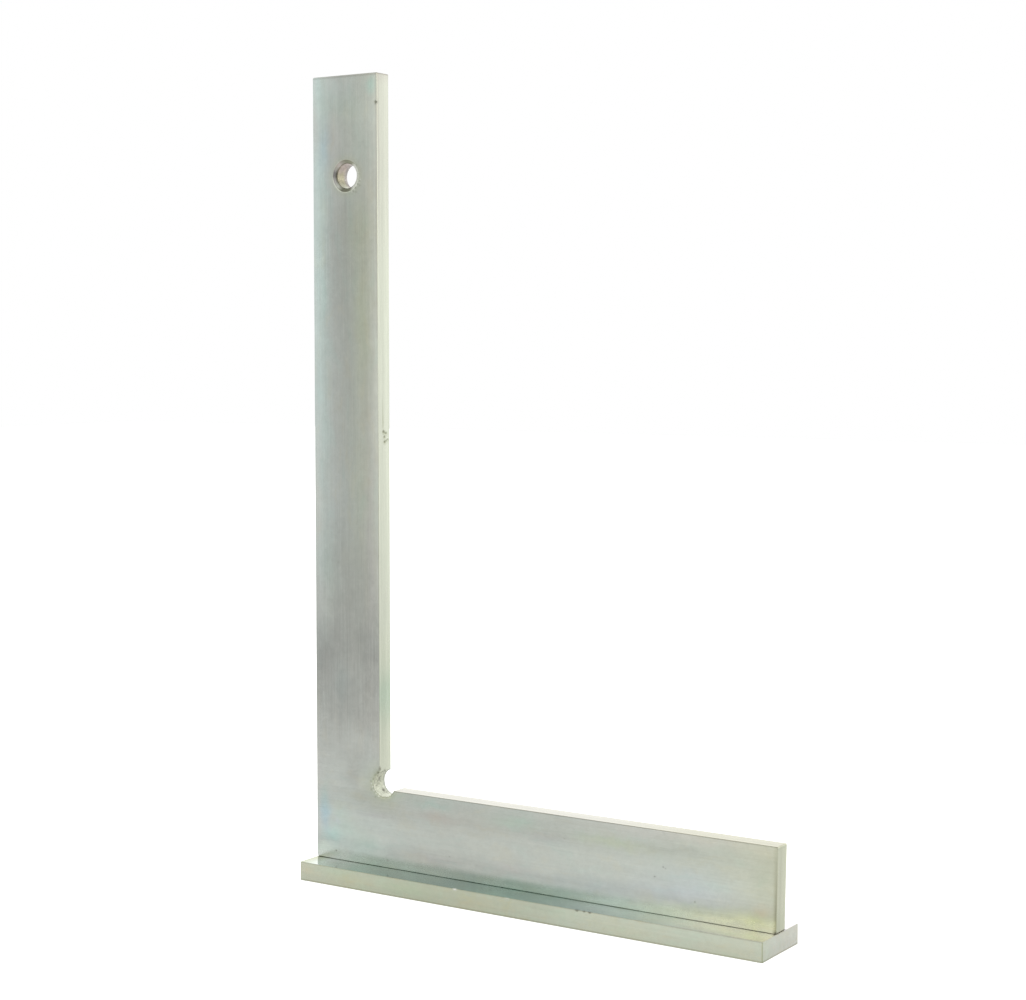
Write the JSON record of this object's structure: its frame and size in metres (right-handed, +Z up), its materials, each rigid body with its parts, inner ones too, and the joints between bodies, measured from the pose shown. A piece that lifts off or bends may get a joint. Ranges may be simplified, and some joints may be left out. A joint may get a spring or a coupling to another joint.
{
  "type": "steel back square",
  "caption": "L-shaped steel square blade standing on a flat foot bar, with a hanging hole in the long leg and a round relief in the inner corner.",
  "frame": {"origin": "centre of the foot's underside, where the square rests on the bench", "axes": "+Z up along the long leg, +X from the heel to the toe of the short leg, +Y from the front ledge to the back ledge"},
  "size_m": [0.165, 0.023, 0.256],
  "materials": {
    "blade_steel": "zinc-plated, satin, faintly iridescent",
    "foot_steel": "zinc-plated, glossy ground top",
    "fastener_steel": "black-oxide socket screw, satin",
    "pin_steel": "hardened and ground, bright"
  },
  "bodies": {
    "root": {"blade": "blade_steel", "foot": "foot_steel", "screw_heel": "fastener_steel", "screw_middle": "fastener_steel", "screw_toe": "fastener_steel", "dowel_pin_heel": "pin_steel", "dowel_pin_toe": "pin_steel"}
  },
  "joints": []
}
